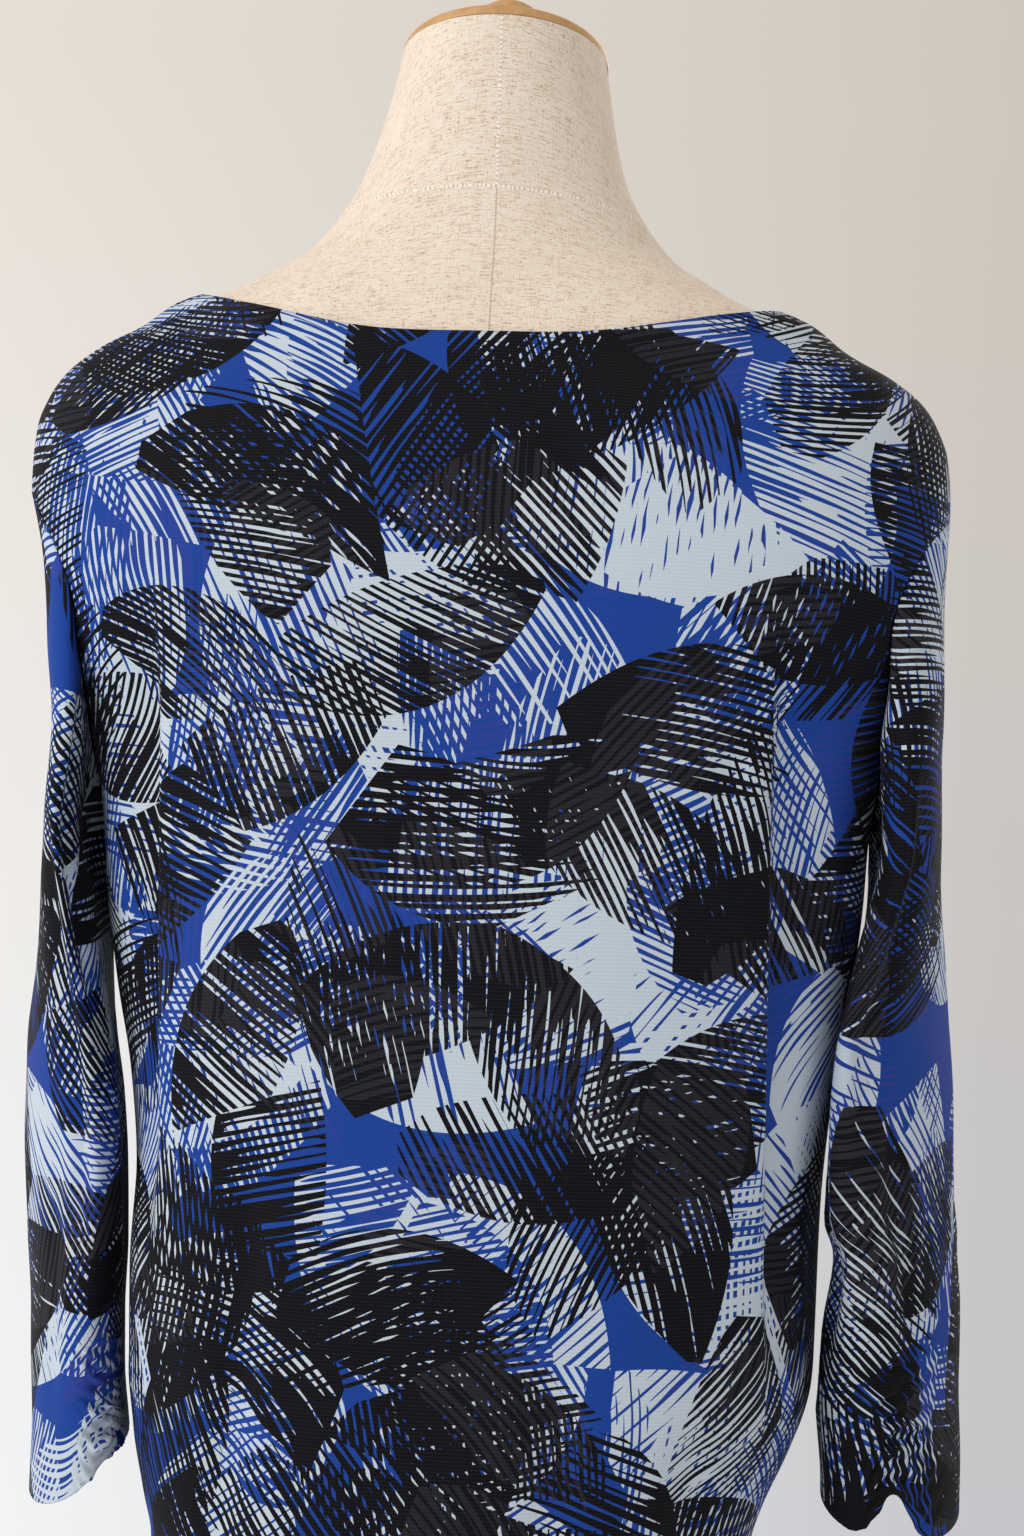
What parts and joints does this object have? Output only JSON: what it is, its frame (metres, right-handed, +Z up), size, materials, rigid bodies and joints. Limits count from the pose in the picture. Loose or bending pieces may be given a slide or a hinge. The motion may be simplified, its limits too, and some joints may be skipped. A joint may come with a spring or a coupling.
{
  "type": "blouse on dress form",
  "caption": "Boat-neck blouse in sheer printed mesh knit, with dropped long sleeves and ruched cuffs, hanging on a limbless linen dress form with a turned wooden cap and stand.",
  "frame": {"origin": "centre of the round base's underside, on the dress form's vertical axis", "axes": "+Z up, the wearer faces +Y, so the back of the blouse faces -Y and the wearer's right sleeve is at +X"},
  "size_m": [0.5233, 0.34, 1.0669],
  "materials": {
    "printed_knit": "fine sheer mesh knit, matt, printed in blue, black and pale grey",
    "linen": "natural linen canvas with slubs, stretched smooth",
    "turned_wood": "turned beech, oiled, satin"
  },
  "bodies": {
    "root": {"back": "printed_knit", "front": "printed_knit", "sleeve_left": "printed_knit", "sleeve_right": "printed_knit", "form": "linen", "neck_cap": "turned_wood", "pole": "turned_wood", "base": "turned_wood"}
  },
  "joints": []
}
